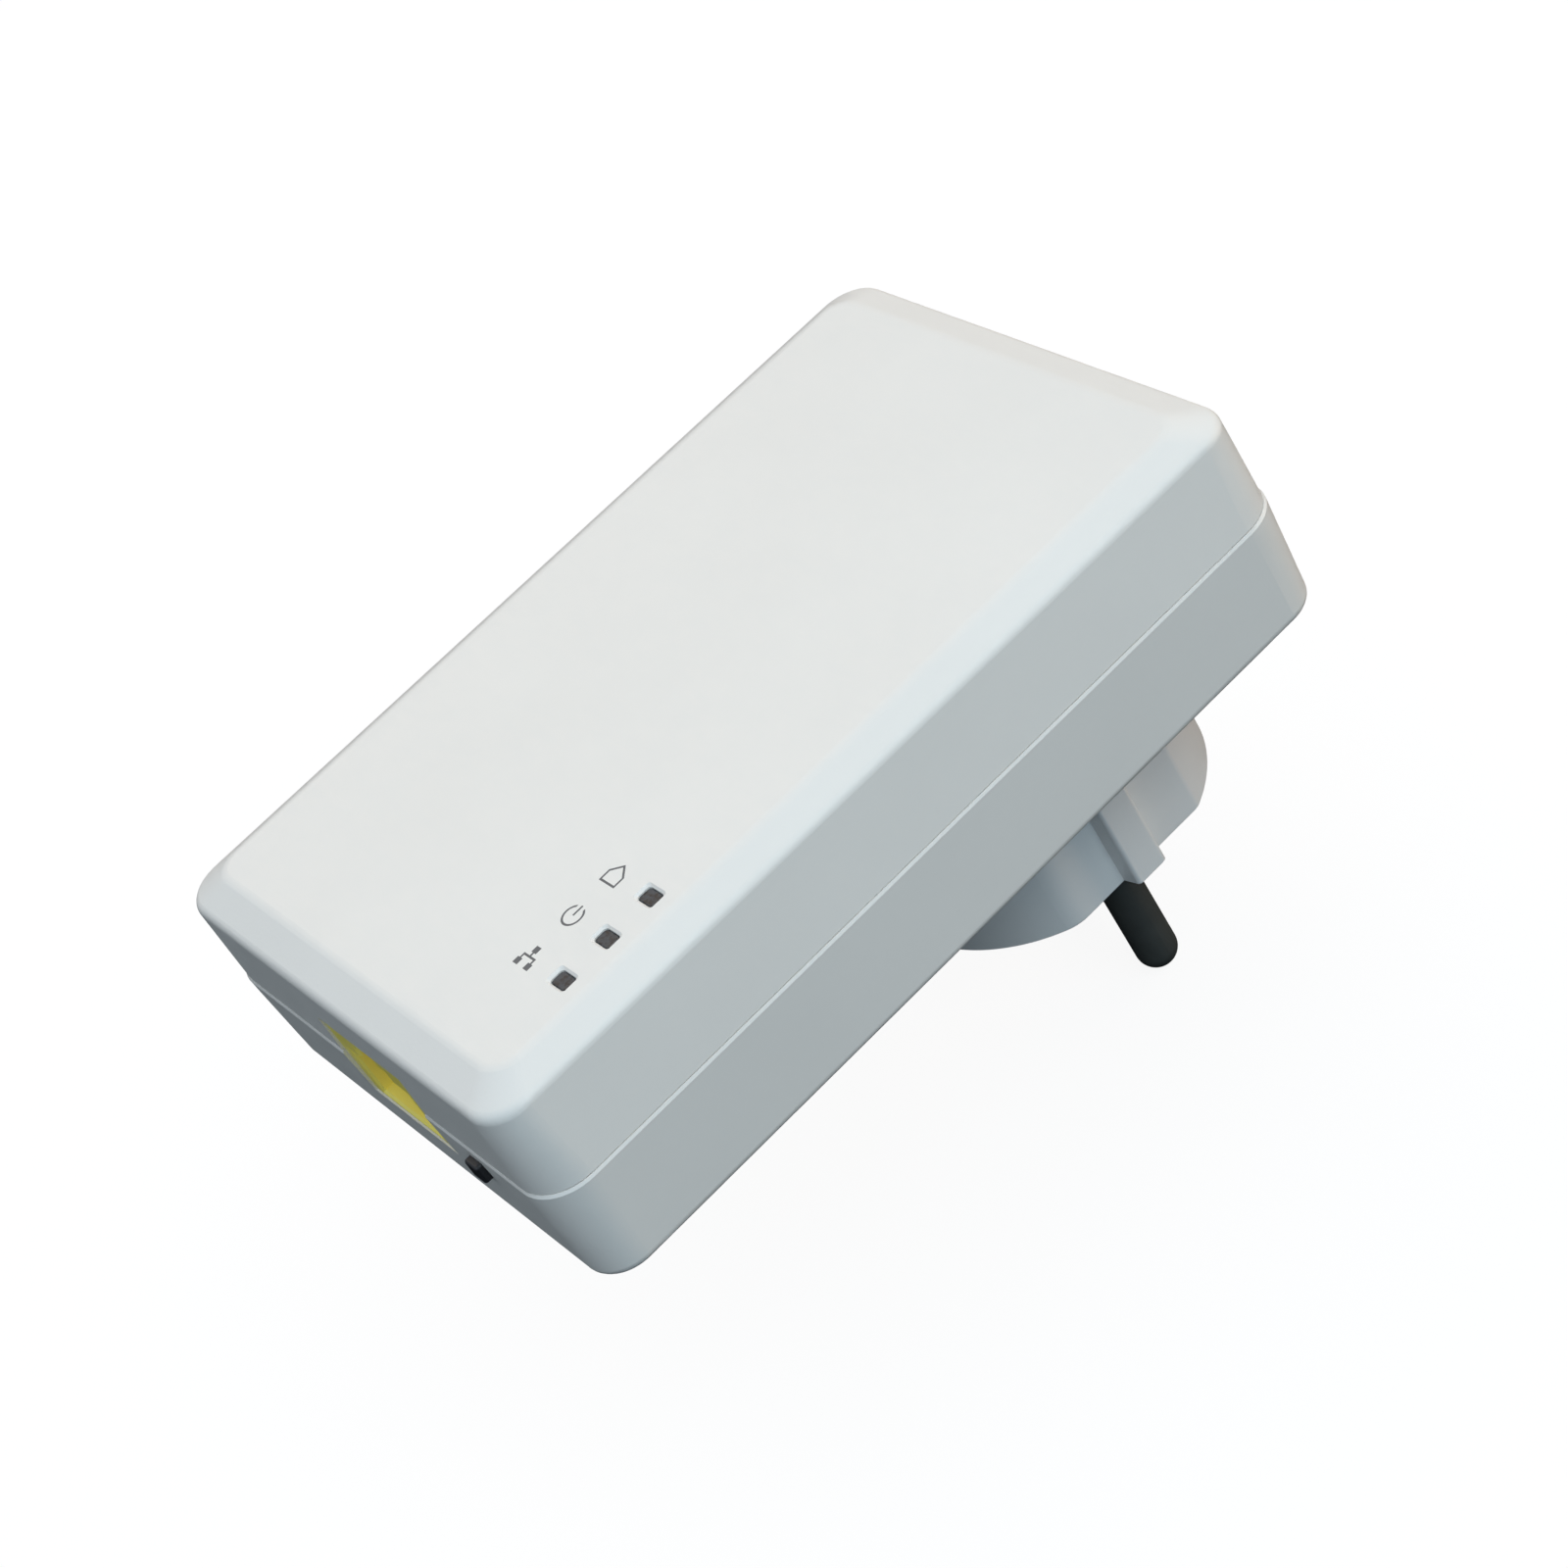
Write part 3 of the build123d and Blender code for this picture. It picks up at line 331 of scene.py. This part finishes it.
def clear_film(name, rgb, transmission):
    """Thin clear polyester or epoxy."""
    look = Look(name)
    haze = look.noise(0.004, 3.0)
    tone = look.mix(haze, colour(*rgb, 0.95), colour(*rgb))
    gloss = look.remap(haze, 0.3, 0.7, 0.12, 0.25)
    look.set(Base_Color=tone, Roughness=gloss, Transmission_Weight=transmission,
             Normal=look.bump(haze, 0.00003))
    return look.material


materials = {
    "cover_plastic": moulded_plastic("cover_plastic", (0.855, 0.84, 0.805), 0.46),
    "plug_plastic": moulded_plastic("plug_plastic", (0.81, 0.81, 0.80), 0.42, 0.00045),
    "pin_metal": plated_metal("pin_metal", (0.075, 0.080, 0.076), 0.44, "Z", metallic=0.35),
    "screw_steel": plated_metal("screw_steel", (0.52, 0.52, 0.53), 0.32, "X"),
    "label_film": label_film("label_film"),
    # the socket's yellow plastic gets a painted glow that brightens it
    "jack_plastic": moulded_plastic("jack_plastic", (1.0, 0.86, 0.18), 0.34, 0.0005, glow=0.055),
    "contact_gold": plated_metal("contact_gold", (0.86, 0.62, 0.24), 0.24, "Y"),
    "button_plastic": moulded_plastic("button_plastic", (0.022, 0.022, 0.026), 0.38, 0.0004),
    "lens_smoke": smoked_lens("lens_smoke"),
    "led_clear": clear_film("led_clear", (0.92, 0.92, 0.88), 0.6),
    "print_ink": printed_ink("print_ink"),
    "board_laminate": circuit_board("board_laminate"),
    "package_black": moulded_plastic("package_black", (0.035, 0.035, 0.038), 0.5, 0.0002),
    "can_metal": plated_metal("can_metal", (0.68, 0.69, 0.70), 0.3, "Z"),
    "ferrite": moulded_plastic("ferrite", (0.055, 0.055, 0.06), 0.6, 0.0003, 0.00002),
    "copper_wire": plated_metal("copper_wire", (0.72, 0.30, 0.12), 0.32, "Z"),
    "tape_yellow": wound_tape("tape_yellow", (0.82, 0.62, 0.06), 0.0012),
    "box_grey": moulded_plastic("box_grey", (0.32, 0.34, 0.37), 0.42),
    "disc_blue": glazed("disc_blue", (0.05, 0.14, 0.42), 0.25),
    "tube_ceramic": glazed("tube_ceramic", (0.85, 0.84, 0.78), 0.2),
    "film_clear": clear_film("film_clear", (0.85, 0.88, 0.90), 0.8),
}


def dress_cad_nodes():
    """Gives every CAD node the material of its slot."""
    for part in frame["record"]["subparts"]:
        slots = frame["nodes"][part["node"]].data.materials
        slots.clear()
        slots.append(materials[part["material_slot"]])


# ---- pieces made here: bent wires in place of plain CAD solids ----
def tube(name, paths, radius, sides=10):
    """One mesh of round wires along the given points, each closed by a flat face at both ends."""
    mesh = bmesh.new()
    for path in paths:
        rings = []
        side = None
        for index, point in enumerate(path):
            ahead = path[min(index + 1, len(path) - 1)]
            behind = path[max(index - 1, 0)]
            along = (ahead - behind).normalized()
            if side is None:
                side = along.orthogonal().normalized()
            side = (side - along * side.dot(along)).normalized()
            across = along.cross(side)
            ring = []
            for step in range(sides):
                angle = 2 * math.pi * step / sides
                out = side * math.cos(angle) + across * math.sin(angle)
                ring.append(mesh.verts.new(point + out * radius))
            rings.append(ring)
        for low, high in zip(rings, rings[1:]):
            for step in range(sides):
                after = (step + 1) % sides
                mesh.faces.new((low[step], low[after], high[after], high[step]))
        mesh.faces.new(list(reversed(rings[0])))
        mesh.faces.new(rings[-1])
    for face in mesh.faces:
        face.smooth = len(face.verts) == 4
    data = bpy.data.meshes.new(name)
    mesh.to_mesh(data)
    mesh.free()
    piece = bpy.data.objects.new(name, data)
    scene.collection.objects.link(piece)
    return piece


def smooth_path(points, steps=8):
    """Points along a curve that passes through every given point."""
    ends = [points[0]] + list(points) + [points[-1]]
    path = []
    for before, start, stop, after in zip(ends, ends[1:], ends[2:], ends[3:]):
        for step in range(steps):
            t = step / steps
            path.append(0.5 * (
                2 * start + (stop - before) * t
                + (2 * before - 5 * start + 4 * stop - after) * t ** 2
                + (3 * start - before - 3 * stop + after) * t ** 3))
    path.append(points[-1])
    return path


def finish_piece(piece, slot, *nodes):
    """Dresses a piece from its slot, lets it ride on the housing and stand for CAD nodes."""
    piece.data.materials.append(materials[slot])
    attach(piece, "housing")
    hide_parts(*nodes)


def make_contacts():
    """Eight gold spring wires that rise from the floor of the network socket."""
    low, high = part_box("ethernet_contacts")
    first = (low.x + high.x) / 2 - CONTACT_WIRE_PITCH * (CONTACT_WIRES - 1) / 2
    reach = high.y - low.y
    rise = high.z - low.z - 2 * CONTACT_WIRE_RADIUS
    base = low.z + CONTACT_WIRE_RADIUS
    paths = []
    for index in range(CONTACT_WIRES):
        x = first + index * CONTACT_WIRE_PITCH
        points = [Vector((x, low.y + reach * along, base + rise * up))
                  for along, up in CONTACT_WIRE_SHAPE]
        paths.append(smooth_path(points))
    finish_piece(tube("contact_wires", paths, CONTACT_WIRE_RADIUS), "contact_gold", "ethernet_contacts")


def make_choke_wires():
    """Two halves of enamelled wire wound round the mains choke's ring core."""
    low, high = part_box("choke_core")
    centre = (low + high) / 2
    bare = math.radians(CHOKE_BARE)
    rim = (high.x - low.x) / 2
    hole = rim * CHOKE_HOLE
    middle = (rim + hole) / 2
    half_width = (rim - hole) / 2 + CHOKE_WIRE_RADIUS + CHOKE_WIRE_GAP
    half_height = (high.z - low.z) / 2 + CHOKE_WIRE_RADIUS + CHOKE_WIRE_GAP
    paths = []
    for start in (0.0, math.pi):
        path = []
        total = CHOKE_TURNS * CHOKE_TURN_STEPS
        for step in range(total + 1):
            part = step / total
            round_core = start + bare + part * (math.pi - 2 * bare)
            turn = 2 * math.pi * part * CHOKE_TURNS
            squash = (abs(math.cos(turn)) ** 4 + abs(math.sin(turn)) ** 4) ** 0.25
            radius = middle + half_width * math.cos(turn) / squash
            height = half_height * math.sin(turn) / squash
            path.append(centre + Vector((
                radius * math.cos(round_core), radius * math.sin(round_core), height)))
        paths.append(path)
    finish_piece(tube("choke_wires", paths, CHOKE_WIRE_RADIUS), "copper_wire", "choke_windings")


# ---- stage, light and camera ----
def make_floor():
    """A pale floor at the level of the pin tips, with a glow that keeps it white."""
    mesh = bpy.data.meshes.new("floor")
    half = FLOOR_SIZE / 2
    level = cad_low.z - FLOOR_GAP
    corners = [(-half, -half, level), (half, -half, level), (half, half, level), (-half, half, level)]
    mesh.from_pydata(corners, [], [(0, 1, 2, 3)])
    floor = bpy.data.objects.new("floor", mesh)
    scene.collection.objects.link(floor)
    look = Look("floor_paper")
    shade = look.mix(look.noise(0.4), colour(0.115, 0.115, 0.115), colour(0.13, 0.13, 0.13))
    look.set(Base_Color=shade, Roughness=0.95, Specular_IOR_Level=0.0,
             Emission_Color=(1, 1, 1, 1), Emission_Strength=0.90)
    mesh.materials.append(look.material)
    floor.visible_diffuse = False
    floor.visible_glossy = False


def softbox(name, towards, power, tint):
    """A square area light that faces the case's middle from the given direction."""
    data = bpy.data.lights.new(name, "AREA")
    data.shape = "SQUARE"
    data.size = LAMP_SIZE
    data.energy = power
    data.color = tint
    lamp = bpy.data.objects.new(name, data)
    scene.collection.objects.link(lamp)
    direction = Vector(towards).normalized()
    lamp.location = AIM + direction * LAMP_DISTANCE
    lamp.rotation_euler = direction.to_track_quat("Z", "Y").to_euler()


def make_lights():
    """A cool surround that brightens upwards, a backdrop that looks white, and the softboxes."""
    world = bpy.data.worlds.new("studio")
    scene.world = world
    world.use_nodes = True
    tree = world.node_tree
    surround = tree.nodes["Background"]
    surround.inputs["Color"].default_value = (*COOL, 1)
    towards = tree.nodes.new("ShaderNodeTexCoord")
    parts = tree.nodes.new("ShaderNodeSeparateXYZ")
    rise = tree.nodes.new("ShaderNodeMapRange")
    rise.inputs["From Min"].default_value, rise.inputs["From Max"].default_value = SURROUND_RISE
    rise.inputs["To Max"].default_value = SURROUND_STRENGTH
    tree.links.new(towards.outputs["Generated"], parts.inputs["Vector"])
    tree.links.new(parts.outputs["Z"], rise.inputs["Value"])
    tree.links.new(rise.outputs["Result"], surround.inputs["Strength"])
    backdrop = tree.nodes.new("ShaderNodeBackground")
    backdrop.inputs["Color"].default_value = (1, 1, 1, 1)
    seen = tree.nodes.new("ShaderNodeLightPath")
    choice = tree.nodes.new("ShaderNodeMixShader")
    tree.links.new(seen.outputs["Is Camera Ray"], choice.inputs[0])
    tree.links.new(surround.outputs["Background"], choice.inputs[1])
    tree.links.new(backdrop.outputs["Background"], choice.inputs[2])
    tree.links.new(choice.outputs["Shader"], tree.nodes["World Output"].inputs["Surface"])
    for lamp in LAMPS:
        softbox(*lamp)


def make_camera():
    """The camera: azimuth and elevation round AIM, then a roll about its own axis."""
    data = bpy.data.cameras.new("camera")
    data.lens = CAMERA_LENS
    data.sensor_width = 36.0
    data.clip_start = 0.01
    camera = bpy.data.objects.new("camera", data)
    scene.collection.objects.link(camera)
    azimuth = math.radians(CAMERA_AZIMUTH)
    elevation = math.radians(CAMERA_ELEVATION)
    back = Vector((
        math.sin(azimuth) * math.cos(elevation),
        -math.cos(azimuth) * math.cos(elevation),
        math.sin(elevation)))
    upright = back.to_track_quat("Z", "Y").to_matrix().to_4x4()
    roll = Matrix.Rotation(-math.radians(CAMERA_ROLL), 4, "Z")
    camera.matrix_world = Matrix.Translation(AIM + back * CAMERA_DISTANCE) @ upright @ roll
    scene.camera = camera


make_camera()
make_floor()
make_lights()
dress_cad_nodes()
make_contacts()
make_choke_wires()
